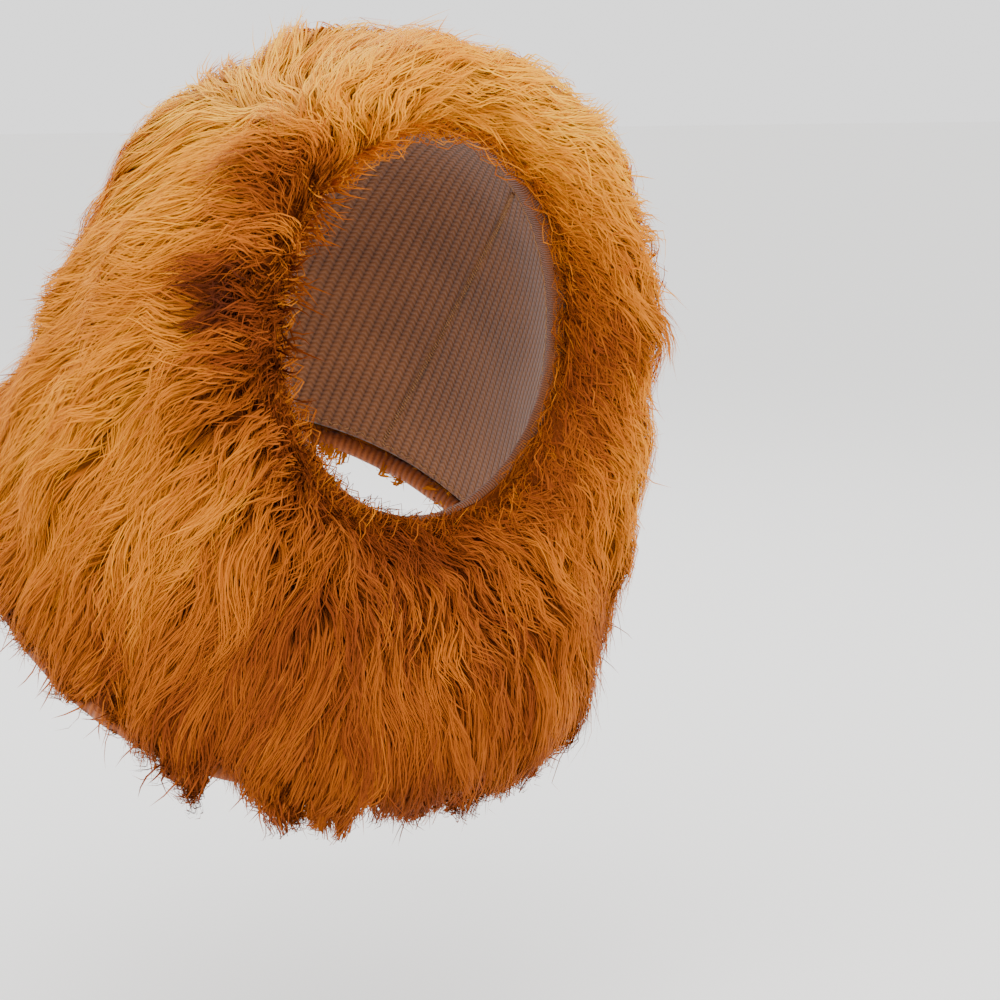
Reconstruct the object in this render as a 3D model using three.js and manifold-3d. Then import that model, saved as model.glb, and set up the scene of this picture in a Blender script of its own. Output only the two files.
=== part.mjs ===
// A lion mane wig for a large pet: a knitted pull-on hood, open at the face and at the neck,
// with long wavy synthetic fur sewn round it in panels, an elastic binding folded over the
// face edge and a rolled hem along the neck edge.
// Millimetres, +Z up. The wearer faces -Y and its left side is +X.
// The origin is the crown, where the inside of the hood sits on top of the head.
import * as THREE from "three";
import { mergeVertices } from "three/addons/utils/BufferGeometryUtils.js";
import Module from "manifold-3d";

const wasm = await Module();
wasm.setup();

// Hood: its openings inside the cloth, and how it bends from the face down over the neck
const faceOpeningHeight = 195;
const faceOpeningWidth = 156;
const headDepth = 232; // crown to throat, inside
const headWidth = 180;
const neckOpeningDepth = 309; // nape to chest, along the slanting hem
const neckOpeningWidth = 288;
const neckShift = 20; // the hem has slid this far to the wearer's right
const throatRun = 120; // from the chin down to the hem
const faceLean = -3; // degrees, the face edge leans forward at the top
const neckLean = 61; // degrees, the neck edge leans back
const clothThickness = 2;

// Trim
const bindingWidth = 10;
const bindingThickness = 3;
const hemDiameter = 10;
const clearance = 0.5; // between the hood and its trim
const furClearance = 0.6; // between the fur and what it is sewn to
const seamGap = 0.8; // between neighbouring fur panels

// Fur: how deep the pile stands at the crown, the sides and the chest
const crownPile = 36;
const sidePile = 46;
const chestPile = 48;
const ruffWidth = 40; // the ring of short curly fur round the face
const lockRootDepth = 9; // how deep a lock's underside lies in the pile
const lockRise = 5; // how proud a lock's edges stand of the pile

// How the fur is combed: pulls that add up, each felt in its own part of the mane
const fallPull = 1.0; // downwards
const ruffPull = 1.5; // away from the face, on the front
const sweepPull = 2.2; // over the crown, away from the parting
const backPull = 0.5; // towards the back
const partingOffset = 74; // from the middle to the parting, on the wearer's right

// Mesh fineness
const hoodSides = 32;
const pileSides = 28;

// The hood's sections, from the face edge to the neck edge. lean is the share of the way from
// faceLean to neckLean, forward and down are the throat's place in shares of throatRun. head is
// the share of the way from the face's size to the head's, neckDepth and neckWidth from there
// to the neck's. corner makes the oval squarer.
const hoodSections = [
  { lean: 0.0, forward: 0.0, down: 0.0, head: 0.0, neckDepth: 0.0, neckWidth: 0.0, corner: 2.0 },
  { lean: 0.14, forward: -0.02, down: 0.12, head: 0.45, neckDepth: 0.0, neckWidth: 0.0, corner: 2.0 },
  { lean: 0.28, forward: -0.02, down: 0.24, head: 1.0, neckDepth: 0.0, neckWidth: 0.0, corner: 2.0 },
  { lean: 0.42, forward: -0.01, down: 0.38, head: 1.0, neckDepth: 0.18, neckWidth: 0.1, corner: 2.0 },
  { lean: 0.56, forward: 0.02, down: 0.52, head: 1.0, neckDepth: 0.36, neckWidth: 0.26, corner: 2.0 },
  { lean: 0.71, forward: 0.06, down: 0.67, head: 1.0, neckDepth: 0.56, neckWidth: 0.47, corner: 2.05 },
  { lean: 0.86, forward: 0.12, down: 0.83, head: 1.0, neckDepth: 0.77, neckWidth: 0.73, corner: 2.15 },
  { lean: 1.0, forward: 0.19, down: 0.98, head: 1.0, neckDepth: 1.0, neckWidth: 1.0, corner: 2.3 },
];
const crownSection = 2; // the section whose top is the origin

// The pile's outer form, from the face edge to the hem. hood is the place on the hood that a
// row is measured from. chestForward and chestDown are shares of chestPile, crownForward and
// crownUp of crownPile, and side of sidePile.
const pileSections = [
  { hood: 0.0, chestForward: 0.17, chestDown: 0.17, crownForward: 0.22, crownUp: 0.0, side: 0.13 },
  { hood: 0.0, chestForward: 0.46, chestDown: 0.27, crownForward: 0.61, crownUp: 0.33, side: 0.41 },
  { hood: 0.0, chestForward: 0.73, chestDown: 0.54, crownForward: 0.56, crownUp: 0.72, side: 0.74 },
  { hood: 0.4, chestForward: 0.77, chestDown: 0.77, crownForward: 0.5, crownUp: 0.94, side: 0.87 },
  { hood: 1.1, chestForward: 0.85, chestDown: 0.97, crownForward: 0.22, crownUp: 0.97, side: 0.93 },
  { hood: 2.2, chestForward: 0.9, chestDown: 1.0, crownForward: 0.17, crownUp: 1.1, side: 0.98 },
  { hood: 3.4, chestForward: 0.85, chestDown: 0.92, crownForward: 0.06, crownUp: 1.3, side: 0.98 },
  { hood: 4.6, chestForward: 0.71, chestDown: 0.73, crownForward: -0.03, crownUp: 1.1, side: 0.85 },
  { hood: 5.6, chestForward: 0.54, chestDown: 0.52, crownForward: -0.25, crownUp: 0.72, side: 0.65 },
  { hood: 6.4, chestForward: 0.35, chestDown: 0.27, crownForward: -0.5, crownUp: 0.33, side: 0.52 },
  { hood: 7.0, chestForward: 0.19, chestDown: 0.08, crownForward: -0.39, crownUp: 0.11, side: 0.26 },
];

// Rings of locks, by the pile row that they are rooted at. from and to are the turns that a
// ring covers, in degrees from the nape round by the wearer's left.
const lockRings = [
  { row: 0.8, count: 15, from: 0, to: 360, length: 50, width: 34 },
  { row: 2.4, count: 15, from: 0, to: 360, length: 80, width: 42 },
  { row: 4.6, count: 4, from: 135, to: 225, length: 70, width: 46 },
  { row: 4.6, count: 11, from: -135, to: 135, length: 96, width: 48 },
  { row: 6.5, count: 5, from: 135, to: 225, length: 44, width: 38 },
  { row: 6.4, count: 4, from: 62, to: 135, length: 58, width: 40 },
  { row: 6.6, count: 4, from: -135, to: -62, length: 62, width: 46 },
  { row: 6.4, count: 6, from: -62, to: 62, length: 96, width: 50 },
  { row: 8.4, count: 7, from: 135, to: 230, length: 22, width: 32 },
  { row: 8.6, count: 6, from: -62, to: 62, length: 60, width: 42 },
];
// A lock from root to tip: shares of its length and width, and of lockRise
const lockOutline = [
  { along: 0.0, width: 0.35, rise: -0.7 },
  { along: 0.35, width: 1.0, rise: 0.7 },
  { along: 0.72, width: 0.65, rise: 1.2 },
];
const lockTipRise = 1.3;

// Fur panels: where the seams lie, in degrees round the hood's spine from the nape
const crownHalfTurn = 48;
const chestHalfTurn = 50;
const crownShare = 0.45; // share of the spine's length that the crown panel covers

const radians = Math.PI / 180;
const down = new THREE.Vector3(0, 0, -1);
const back = new THREE.Vector3(0, 1, 0);
const left = new THREE.Vector3(1, 0, 0);
const mix = (a, b, share) => a + (b - a) * share;
const clamp = (value, low, high) => Math.min(Math.max(value, low), high);
const turnsOf = (sides) => Array.from({ length: sides }, (_, side) => (side / sides) * 2 * Math.PI);
const lastHood = hoodSections.length - 1;
const lastPile = pileSections.length - 1;

// A repeatable number between -1 and 1 for each seed
function wobble(seed) {
  const value = Math.sin(seed * 127.1 + 11.7) * 43758.5453;
  return (value - Math.floor(value)) * 2 - 1;
}

// Reads a table between two of its rows
function readRow(table, row) {
  const below = clamp(Math.floor(row), 0, table.length - 2);
  const share = clamp(row - below, 0, 1);
  const read = {};
  for (const key of Object.keys(table[0])) {
    read[key] = mix(table[below][key], table[below + 1][key], share);
  }
  return read;
}

// The throat and nape points of a hood section, its half width and how square it is
function hoodSection(row) {
  const read = readRow(hoodSections, row);
  const lean = mix(faceLean, neckLean, read.lean) * radians;
  const depth = mix(mix(faceOpeningHeight, headDepth, read.head), neckOpeningDepth, read.neckDepth);
  const width = mix(mix(faceOpeningWidth, headWidth, read.head), neckOpeningWidth, read.neckWidth);
  const aside = -neckShift * read.neckWidth;
  const throat = new THREE.Vector3(aside, -throatRun * read.forward, -throatRun * read.down);
  const nape = throat.clone().add(new THREE.Vector3(0, depth * Math.sin(lean), depth * Math.cos(lean)));
  return { throat, nape, halfWidth: width / 2, corner: read.corner };
}

const crownShift = hoodSection(crownSection).nape.negate();

// A point of an oval: turn 0 is the nape, a quarter turn the wearer's left
function ovalPoint({ throat, nape, halfWidth, corner }, turn) {
  const squared = (value) => Math.sign(value) * Math.abs(value) ** (2 / corner);
  const middle = throat.clone().add(nape).multiplyScalar(0.5);
  const toNape = nape.clone().sub(middle);
  middle.addScaledVector(toNape, squared(Math.cos(turn)));
  return middle.addScaledVector(left, halfWidth * squared(Math.sin(turn))).add(crownShift);
}

const hoodPoint = (row, turn) => ovalPoint(hoodSection(row), turn);

function pilePoint(row, turn) {
  const read = readRow(pileSections, row);
  const section = hoodSection(read.hood);
  section.throat.add(new THREE.Vector3(0, -chestPile * read.chestForward, -chestPile * read.chestDown));
  section.nape.add(new THREE.Vector3(0, -crownPile * read.crownForward, crownPile * read.crownUp));
  section.halfWidth += sidePile * read.side;
  return ovalPoint(section, turn);
}

// How a surface runs at a place: along its rows, round its turns, and its outward normal
function tangents(surface, row, turn, lastRow) {
  const step = 0.05;
  const near = clamp(row - step, 0, lastRow - 2 * step);
  const along = surface(near + 2 * step, turn).sub(surface(near, turn)).divideScalar(2 * step);
  const round = surface(row, turn + step).sub(surface(row, turn - step)).divideScalar(2 * step);
  const normal = round.clone().cross(along).normalize();
  return { along, round, normal };
}

// A closed solid from rings of points that turn the same way. loop joins the last ring to the
// first, and otherwise the ends are capped, the last one up to tip where one is given.
function solidFromRings(rings, { loop = false, tip = null } = {}) {
  const sides = rings[0].length;
  const points = rings.flat();
  const faces = [];
  for (let band = 0; band < (loop ? rings.length : rings.length - 1); band += 1) {
    const near = band * sides;
    const far = ((band + 1) % rings.length) * sides;
    for (let side = 0; side < sides; side += 1) {
      const next = (side + 1) % sides;
      faces.push(near + side, near + next, far + next, near + side, far + next, far + side);
    }
  }
  const middleOf = (ring) =>
    ring.reduce((sum, point) => sum.add(point), new THREE.Vector3()).divideScalar(sides);
  const caps = [
    { start: 0, middle: middleOf(rings[0]), forwards: false },
    { start: (rings.length - 1) * sides, middle: tip ?? middleOf(rings.at(-1)), forwards: true },
  ];
  for (const { start, middle, forwards } of loop ? [] : caps) {
    points.push(middle);
    for (let side = 0; side < sides; side += 1) {
      const ends = [start + side, start + ((side + 1) % sides)];
      if (!forwards) ends.reverse();
      faces.push(ends[0], ends[1], points.length - 1);
    }
  }
  const geometry = new THREE.BufferGeometry().setFromPoints(points);
  geometry.setIndex(faces);
  return toSolid(geometry);
}

function toSolid(geometry) {
  const merged = mergeVertices(geometry, 1e-4);
  const vertProperties = Float32Array.from(merged.getAttribute("position").array);
  const triVerts = Uint32Array.from(merged.index.array);
  const make = () => new wasm.Manifold(new wasm.Mesh({ numProp: 3, vertProperties, triVerts }));
  if (make().volume() < 0) {
    for (let i = 0; i < triVerts.length; i += 3) {
      [triVerts[i], triVerts[i + 1]] = [triVerts[i + 1], triVerts[i]];
    }
  }
  return make();
}

// The largest body of a solid, without the tips of locks that a seam has cut off
function mainBody(solid) {
  return solid.decompose().reduce((best, body) => (body.volume() > best.volume() ? body : best));
}

function meshOf(name, solid, material) {
  const { vertProperties, triVerts, numProp } = solid.getMesh();
  const positions = [];
  for (let i = 0; i < vertProperties.length; i += numProp) {
    positions.push(...vertProperties.subarray(i, i + 3));
  }
  const geometry = new THREE.BufferGeometry();
  geometry.setAttribute("position", new THREE.Float32BufferAttribute(positions, 3));
  geometry.setIndex(Array.from(triVerts));
  geometry.computeVertexNormals();
  const mesh = new THREE.Mesh(geometry, material);
  mesh.name = name;
  return mesh;
}

// The wall at an edge of the hood, at each turn: the edge's point and normal, the same one
// section further in, and the way out along the wall
function hoodEdge(row, inner) {
  return turnsOf(hoodSides).map((turn) => {
    const point = hoodPoint(row, turn);
    const innerPoint = hoodPoint(inner, turn);
    return {
      point,
      innerPoint,
      leaving: point.clone().sub(innerPoint).normalize(),
      normal: tangents(hoodPoint, row, turn, lastHood).normal,
      innerNormal: tangents(hoodPoint, inner, turn, lastHood).normal,
    };
  });
}

// A point by that wall: run is how far past the edge, rise how far out from the inner face
function byEdge({ point, innerPoint, leaving, normal, innerNormal }, run, rise) {
  if (run >= 0) return point.clone().addScaledVector(leaving, run).addScaledVector(normal, rise);
  const share = -run / point.distanceTo(innerPoint);
  const base = point.clone().lerp(innerPoint, share);
  return base.addScaledVector(normal.clone().lerp(innerNormal, share), rise);
}

const faceEdge = hoodEdge(0, 1);
const neckEdge = hoodEdge(lastHood, lastHood - 1);
const faceOut = new THREE.Vector3(0, -Math.cos(faceLean * radians), Math.sin(faceLean * radians));
const neckOut = new THREE.Vector3(0, Math.cos(neckLean * radians), -Math.sin(neckLean * radians));
const faceMiddle = hoodPoint(0, 0).lerp(hoodPoint(0, Math.PI), 0.5);
const neckMiddle = hoodPoint(lastHood, 0).lerp(hoodPoint(lastHood, Math.PI), 0.5);

// One ring of the hood's wall, moved out of its inner face
function hoodRing(row, rise) {
  return turnsOf(hoodSides).map((turn) =>
    hoodPoint(row, turn).addScaledVector(tangents(hoodPoint, row, turn, lastHood).normal, rise),
  );
}

function makeHood() {
  const rows = hoodSections.map((_, row) => row);
  const inside = rows.map((row) => hoodRing(row, 0));
  const outside = rows.map((row) => hoodRing(row, clothThickness)).reverse();
  return solidFromRings([...inside, ...outside], { loop: true });
}

// The elastic binding, a channel folded over the face edge
function makeBinding() {
  const within = -clearance;
  const over = clothThickness + clearance;
  const profile = [
    { run: -bindingWidth, rise: over },
    { run: clearance, rise: over },
    { run: clearance, rise: within },
    { run: -bindingWidth, rise: within },
    { run: -bindingWidth, rise: within - bindingThickness },
    { run: bindingThickness * 0.6, rise: within - bindingThickness },
    { run: clearance + bindingThickness, rise: within },
    { run: clearance + bindingThickness, rise: over },
    { run: bindingThickness * 0.6, rise: over + bindingThickness },
    { run: -bindingWidth, rise: over + bindingThickness },
  ];
  return solidFromRings(
    profile.map(({ run, rise }) => faceEdge.map((wall) => byEdge(wall, run, rise))),
    { loop: true },
  );
}

// The hem, a soft round roll along the neck edge
function makeHem() {
  const radius = hemDiameter / 2;
  return solidFromRings(
    turnsOf(8).map((turn) =>
      neckEdge.map((wall) =>
        byEdge(
          wall,
          clearance + radius * (1 + Math.cos(turn)),
          clothThickness / 2 + radius * Math.sin(turn),
        ),
      ),
    ),
    { loop: true },
  );
}

// All that the fur stays clear of: the hood with its trim, and the ways in and out
function makeHoodRoom() {
  const overCloth = clothThickness + furClearance;
  const overBinding = clothThickness + 2 * clearance + bindingThickness + furClearance;
  const overHem = (clothThickness + hemDiameter) / 2 + furClearance;
  const pastBinding = clearance + bindingThickness + furClearance;
  const pastHem = clearance + hemDiameter + furClearance;
  const wayOut = throatRun + sidePile + lockRings[0].length;
  const rows = hoodSections.map((_, row) => row).slice(1, -1);
  const rings = [
    faceEdge.map((wall) => byEdge(wall, pastBinding, overBinding).addScaledVector(faceOut, wayOut)),
    faceEdge.map((wall) => byEdge(wall, pastBinding, overBinding)),
    faceEdge.map((wall) => byEdge(wall, 0, overBinding)),
    faceEdge.map((wall) => byEdge(wall, -bindingWidth - furClearance, overBinding)),
    ...rows.map((row) => hoodRing(row, overCloth)),
    neckEdge.map((wall) => byEdge(wall, 0, overHem)),
    neckEdge.map((wall) => byEdge(wall, pastHem, overHem)),
    neckEdge.map((wall) => byEdge(wall, pastHem, overHem).addScaledVector(neckOut, wayOut)),
  ];
  return solidFromRings(rings.reverse());
}

function makePile() {
  const turns = turnsOf(pileSides);
  return solidFromRings(pileSections.map((_, row) => turns.map((turn) => pilePoint(row, turn))));
}

// Which way the fur lies at a place on the pile
function combing(point, normal) {
  const front = clamp(normal.dot(faceOut), 0, 1);
  const top = clamp(normal.z, 0, 1) * clamp(1 - point.y / headWidth, 0, 1);
  const fromFace = point.clone().sub(faceMiddle);
  fromFace.addScaledVector(faceOut, -fromFace.dot(faceOut)).normalize();
  const way = down.clone().multiplyScalar(fallPull);
  way.addScaledVector(fromFace, ruffPull * front);
  way.addScaledVector(left, sweepPull * top * Math.tanh((point.x + partingOffset) / (headWidth / 6)));
  way.addScaledVector(back, backPull * (1 - front));
  return way.addScaledVector(normal, -way.dot(normal)).normalize();
}

// Follows the combing over the pile, and hangs free past the pile's last row
function followFur(row, turn, length, steps) {
  const path = [];
  let free = null;
  for (let step = 0; step <= steps; step += 1) {
    const { along, round, normal } = tangents(pilePoint, row, turn, lastPile);
    const point = free ?? pilePoint(row, turn);
    path.push({ point: point.clone(), normal });
    const way = combing(point, normal).multiplyScalar(length / steps);
    if (row >= lastPile) {
      free = point.add(way.addScaledVector(down, length / steps / 2).setLength(length / steps));
    } else {
      const slant = along.dot(round);
      const across = along.lengthSq() * round.lengthSq() - slant * slant;
      turn += (along.lengthSq() * way.dot(round) - slant * way.dot(along)) / across;
      row = clamp(row + (round.lengthSq() * way.dot(along) - slant * way.dot(round)) / across, 0, lastPile);
    }
  }
  return path;
}

// One lock, a tapering ridge that lies along the pile and ends in a point
function makeLock(ring, turn, seed) {
  const length = ring.length * (1 + 0.15 * wobble(seed + 0.3));
  const steps = 24;
  const path = followFur(ring.row + 0.3 * wobble(seed + 0.6), turn, length, steps);
  const lift = lockRise * (1 + 0.4 * wobble(seed + 0.9));
  const rings = lockOutline.map(({ along, width, rise }) => {
    const at = Math.round(along * steps);
    const { point, normal } = path[at];
    const ahead = path[Math.min(at + 2, steps)].point.clone();
    ahead.sub(path[Math.max(at - 2, 0)].point);
    const across = ahead.cross(normal).setLength((ring.width / 2) * width);
    const middle = point.clone().addScaledVector(normal, lift * rise);
    return [
      middle.clone().add(across),
      middle.clone().addScaledVector(normal, ring.width * width * 0.16),
      middle.clone().sub(across),
      middle.clone().addScaledVector(normal, -(lockRootDepth + lift * rise) * Math.sqrt(width)),
    ];
  });
  const end = path[steps];
  return solidFromRings(rings, { tip: end.point.clone().addScaledVector(end.normal, lift * lockTipRise) });
}

function makeFur() {
  const pieces = [makePile()];
  lockRings.forEach((ring, ringIndex) => {
    for (let lock = 0; lock < ring.count; lock += 1) {
      const seed = ringIndex * 40 + lock;
      const share = (lock + 0.5 + 0.25 * wobble(seed)) / ring.count;
      pieces.push(makeLock(ring, mix(ring.from, ring.to, share) * radians, seed));
    }
  });
  return wasm.Manifold.union(pieces).subtract(makeHoodRoom());
}

// Keeps the side of a plane that its normal points to
function keepBeyond(solid, normal, point) {
  const unit = normal.clone().normalize();
  return solid.trimByPlane(unit.toArray(), unit.dot(point) + seamGap / 2);
}

// The room of the ruff, a ring round the face edge that widens forwards
function makeRuffRoom(grow) {
  const ring = (forward, width) =>
    faceEdge.map(({ point }) => {
      const outward = point.clone().sub(faceMiddle).setLength(width + grow);
      return point.clone().add(outward).addScaledVector(faceOut, forward);
    });
  return solidFromRings([
    ring(ruffWidth * 3, ruffWidth * 1.5),
    ring(0, ruffWidth * 0.9),
    ring(-grow, -ruffWidth),
  ]);
}

// Cuts the fur into its sewn panels
function makePanels(fur) {
  const spine = neckMiddle.clone().sub(faceMiddle).normalize();
  const up = spine.clone().cross(left).normalize();
  if (up.z < 0) up.negate();
  const ruff = fur.intersect(makeRuffRoom(0));
  const rest = fur.subtract(makeRuffRoom(seamGap));
  const pastTurn = (solid, degrees, side) => {
    const across = left.clone().multiplyScalar(Math.cos(degrees * radians));
    across.addScaledVector(up, -Math.sin(degrees * radians));
    return keepBeyond(solid, across.multiplyScalar(side), faceMiddle);
  };
  const sector = (from, to) => pastTurn(pastTurn(rest, from, 1), to, -1);
  const top = sector(-crownHalfTurn, crownHalfTurn);
  const crownEnd = faceMiddle.clone().lerp(neckMiddle, crownShare);
  const chestEdge = 180 - chestHalfTurn;
  return {
    face_ruff: ruff,
    crown_fur: keepBeyond(top, spine.clone().negate(), crownEnd),
    nape_fur: keepBeyond(top, spine, crownEnd),
    left_side_fur: sector(crownHalfTurn, chestEdge),
    right_side_fur: sector(-chestEdge, -crownHalfTurn),
    chest_fur: sector(chestEdge, 180 + chestHalfTurn),
  };
}

const knit = new THREE.MeshStandardMaterial({ color: 0x6e4326, roughness: 0.95, metalness: 0 });
const trim = new THREE.MeshStandardMaterial({ color: 0x9a5428, roughness: 0.9, metalness: 0 });
const goldenFur = new THREE.MeshStandardMaterial({ color: 0xc07a34, roughness: 0.75, metalness: 0 });
const auburnFur = new THREE.MeshStandardMaterial({ color: 0x93501d, roughness: 0.75, metalness: 0 });

const maneWig = new THREE.Group();
maneWig.add(meshOf("backing_hood", makeHood(), knit));
maneWig.add(meshOf("face_binding", makeBinding(), trim));
maneWig.add(meshOf("neck_hem", makeHem(), trim));
for (const [name, solid] of Object.entries(makePanels(makeFur()))) {
  maneWig.add(meshOf(name, mainBody(solid), name === "face_ruff" ? auburnFur : goldenFur));
}

export default maneWig;
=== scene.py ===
import math

import bpy
import numpy as np
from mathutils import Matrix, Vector
from mathutils.bvhtree import BVHTree


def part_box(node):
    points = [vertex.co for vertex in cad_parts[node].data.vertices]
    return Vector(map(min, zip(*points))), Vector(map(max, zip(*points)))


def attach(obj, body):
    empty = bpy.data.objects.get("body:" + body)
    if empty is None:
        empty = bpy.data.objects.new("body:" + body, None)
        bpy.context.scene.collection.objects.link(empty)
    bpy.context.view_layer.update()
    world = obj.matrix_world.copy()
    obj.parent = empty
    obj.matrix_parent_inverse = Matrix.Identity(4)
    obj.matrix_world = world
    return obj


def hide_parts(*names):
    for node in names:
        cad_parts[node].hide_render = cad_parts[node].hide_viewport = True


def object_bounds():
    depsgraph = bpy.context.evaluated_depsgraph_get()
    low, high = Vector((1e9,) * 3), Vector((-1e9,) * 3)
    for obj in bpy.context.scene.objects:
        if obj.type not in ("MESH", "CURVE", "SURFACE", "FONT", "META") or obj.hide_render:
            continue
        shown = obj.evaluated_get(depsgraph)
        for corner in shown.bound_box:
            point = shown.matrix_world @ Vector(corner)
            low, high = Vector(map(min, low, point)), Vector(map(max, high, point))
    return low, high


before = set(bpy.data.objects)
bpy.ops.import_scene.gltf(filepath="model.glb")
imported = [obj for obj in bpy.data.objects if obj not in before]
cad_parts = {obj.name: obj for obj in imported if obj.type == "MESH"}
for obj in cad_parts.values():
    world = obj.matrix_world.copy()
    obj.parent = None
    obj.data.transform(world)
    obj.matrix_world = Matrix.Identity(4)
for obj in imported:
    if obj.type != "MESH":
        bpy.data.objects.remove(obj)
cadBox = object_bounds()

print("frame loaded")

mm = 0.001
down = np.array([0.0, 0.0, -1.0])
back = np.array([0.0, 1.0, 0.0])
left = np.array([1.0, 0.0, 0.0])  # the wearer's left
furNodes = ["face_ruff", "crown_fur", "nape_fur", "left_side_fur", "right_side_fur", "chest_fur"]


# small helpers

def unit(vectors):
    return vectors / np.maximum(np.linalg.norm(vectors, axis=-1, keepdims=True), 1e-9)


def smoothStep(low, high, value):
    share = np.clip((value - low) / (high - low), 0, 1)
    return share * share * (3 - 2 * share)


def deselectAll():
    bpy.ops.object.select_all(action="DESELECT")


def activate(piece):
    deselectAll()
    piece.select_set(True)
    bpy.context.view_layer.objects.active = piece


def applyModifier(piece, kind, **settings):
    modifier = piece.modifiers.new(kind.title(), kind)
    for name, value in settings.items():
        setattr(modifier, name, value)
    activate(piece)
    bpy.ops.object.modifier_apply(modifier=modifier.name)


def copyOfNode(nodeName, pieceName):
    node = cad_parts[nodeName]
    mesh = node.data.copy()
    mesh.transform(node.matrix_world)
    mesh.materials.clear()
    piece = bpy.data.objects.new(pieceName, mesh)
    bpy.context.scene.collection.objects.link(piece)
    activate(piece)
    bpy.ops.object.mode_set(mode="EDIT")
    bpy.ops.mesh.select_all(action="SELECT")
    bpy.ops.mesh.remove_doubles(threshold=0.02 * mm)
    bpy.ops.object.mode_set(mode="OBJECT")
    return piece


def coordinatesOf(piece):
    points = np.empty(len(piece.data.vertices) * 3)
    piece.data.vertices.foreach_get("co", points)
    return points.reshape(-1, 3)


def setCoordinates(piece, points):
    piece.data.vertices.foreach_set("co", np.asarray(points, dtype=float).ravel())
    piece.data.update()


# the camera stands where the photograph was taken from

photoView = {
    "azimuth": -32,
    "elevation": 8,
    "distance": 1.55,
    "pixelsAcross": 1000,
    "pixelsPerMetre": 2000,
    "originPixel": (353.6, 121.0),  # where the crown lies in the photograph
    "sensor": 36,
}


def makeCamera():
    azimuth = math.radians(photoView["azimuth"])
    elevation = math.radians(photoView["elevation"])
    away = Vector((
        math.sin(azimuth) * math.cos(elevation),
        -math.cos(azimuth) * math.cos(elevation),
        math.sin(elevation),
    ))
    rightwards = Vector((math.cos(azimuth), math.sin(azimuth), 0))
    upwards = away.cross(rightwards)
    half = photoView["pixelsAcross"] / 2
    across = (half - photoView["originPixel"][0]) / photoView["pixelsPerMetre"]
    below = (half - photoView["originPixel"][1]) / photoView["pixelsPerMetre"]
    target = rightwards * across - upwards * below
    cameraData = bpy.data.cameras.new("photoCamera")
    camera = bpy.data.objects.new("photoCamera", cameraData)
    bpy.context.scene.collection.objects.link(camera)
    camera.location = target + away * photoView["distance"]
    camera.rotation_euler = away.to_track_quat("Z", "Y").to_euler()
    cameraData.sensor_width = photoView["sensor"]
    fieldWidth = photoView["pixelsAcross"] / photoView["pixelsPerMetre"]
    cameraData.lens = photoView["sensor"] * photoView["distance"] / fieldWidth
    bpy.context.scene.camera = camera


makeCamera()
print("camera placed")


# materials

def linearColour(hexColour):
    channels = [int(hexColour[i:i + 2], 16) / 255 for i in (1, 3, 5)]
    return [c / 12.92 if c <= 0.04045 else ((c + 0.055) / 1.055) ** 2.4 for c in channels] + [1.0]


def setNode(material, node, inputs):
    for socket, value in inputs.items():
        if isinstance(value, bpy.types.NodeSocket):
            material.node_tree.links.new(value, node.inputs[socket])
        else:
            node.inputs[socket].default_value = value


def addNode(material, kind, inputs, stops=(), **settings):
    node = material.node_tree.nodes.new(kind)
    for name, value in settings.items():
        setattr(node, name, value)
    setNode(material, node, inputs)
    if stops:
        # a ramp starts with two stops, and these take their place, from low to high
        elements = node.color_ramp.elements
        elements.remove(elements[1])
        elements[0].position = stops[0][0]
        for position, _ in stops[1:]:
            elements.new(position)
        for element, (_, hexColour) in zip(elements, stops):
            element.color = linearColour(hexColour)
    return node


def newMaterial(name):
    material = bpy.data.materials.new(name)
    material.use_nodes = True
    return material, material.node_tree.nodes["Principled BSDF"]


# Modacrylic fur fibre, spun and crimped: matt, darker at the roots, partly its own tone and partly
# painted shade of the deep pile, and lighter at the tips.
# The map holds a strand's tone across and its length upwards.
def makeFurFibre():
    material, shader = newMaterial("crimpedModacrylicFibre")
    place = addNode(material, "ShaderNodeUVMap", {}, uv_map="OFBake")
    parts = addNode(material, "ShaderNodeSeparateXYZ", {"Vector": place.outputs["UV"]})
    tone = parts.outputs["X"]
    # the root ramp is darker: partly the fibre's own tone, partly painted shade deep in the pile
    rootToneAndShade = addNode(material, "ShaderNodeValToRGB", {"Fac": tone}, stops=[
        (0.0, "#2A0E03"), (0.2, "#4E1F06"), (0.4, "#7C380A"), (0.6, "#9A4E12"),
        (0.8, "#B4691A"), (1.0, "#D08E28"),
    ])
    tipColour = addNode(material, "ShaderNodeValToRGB", {"Fac": tone}, stops=[
        (0.0, "#4A1A05"), (0.2, "#7D370B"), (0.4, "#AD5A10"), (0.6, "#D17C12"),
        (0.8, "#EA9A0E"), (1.0, "#FBBD2E"),
    ])
    rise = addNode(material, "ShaderNodeMapRange", {
        "Value": parts.outputs["Y"], "From Min": 0.02, "From Max": 0.48,
    })
    colour = addNode(material, "ShaderNodeMix", {
        0: rise.outputs["Result"], 6: rootToneAndShade.outputs["Color"], 7: tipColour.outputs["Color"],
    }, data_type="RGBA")
    setNode(material, shader, {
        "Base Color": colour.outputs[2],
        "Roughness": 0.68,
        "Specular IOR Level": 0.09,
        "IOR": 1.5,
    })
    return material


# the fur's outer form: the panels joined and evened out, and of that what looks away from the hood

furForm = {
    "seamClosing": 1,    # mm, makes the panels meet
    "voxel": 5,          # mm
    "leastDepth": 5,     # mm, nearer to the hood there is no form to root on
    "edgeDepth": 42,     # mm from the binding, where the fur turns in to the face
    "edgeAhead": 4,      # mm before the middle of the binding
    "smoothTurns": 10,
    "normalTurns": 12,   # evens out which way the fur stands
}


def trianglesOf(mesh):
    mesh.calc_loop_triangles()
    triangles = np.empty(len(mesh.loop_triangles) * 3, dtype=np.int32)
    mesh.loop_triangles.foreach_get("vertices", triangles)
    return triangles.reshape(-1, 3)


def treeOf(points, triangles):
    return BVHTree.FromPolygons(points.tolist(), triangles.tolist())


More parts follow.
